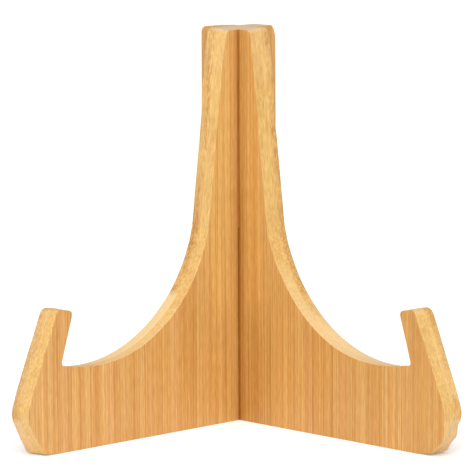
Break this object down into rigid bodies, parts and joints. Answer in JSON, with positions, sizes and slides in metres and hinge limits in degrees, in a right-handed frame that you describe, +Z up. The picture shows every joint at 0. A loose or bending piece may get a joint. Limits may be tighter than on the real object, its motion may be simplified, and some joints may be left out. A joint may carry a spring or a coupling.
{
  "type": "plate display stand",
  "caption": "Freestanding plate stand of interlocking laminated bamboo boards, with hooked front arms and a leaning back rest.",
  "frame": {"origin": "on the vertical line where the two boards cross, at the height of the surface the stand rests on", "axes": "+Z up, -Y towards the front, where the plate is set down, +X to the right as seen from the front"},
  "size_m": [0.174, 0.1362, 0.16],
  "materials": {
    "left_board_inner_bamboo": "sanded, clear satin",
    "left_board_outer_bamboo": "sanded, clear satin",
    "right_board_inner_bamboo": "sanded, clear satin",
    "right_board_outer_bamboo": "sanded, clear satin"
  },
  "bodies": {
    "right_board": {"right_board_inner_ply": "right_board_inner_bamboo", "right_board_outer_ply": "right_board_outer_bamboo"},
    "left_board": {"left_board_inner_ply": "left_board_inner_bamboo", "left_board_outer_ply": "left_board_outer_bamboo"}
  },
  "joints": [
    {"name": "board_lift_off", "type": "slide", "parent": "right_board", "child": "left_board", "axis": [0, 0, 1], "range_m": [0, 0.165]}
  ]
}
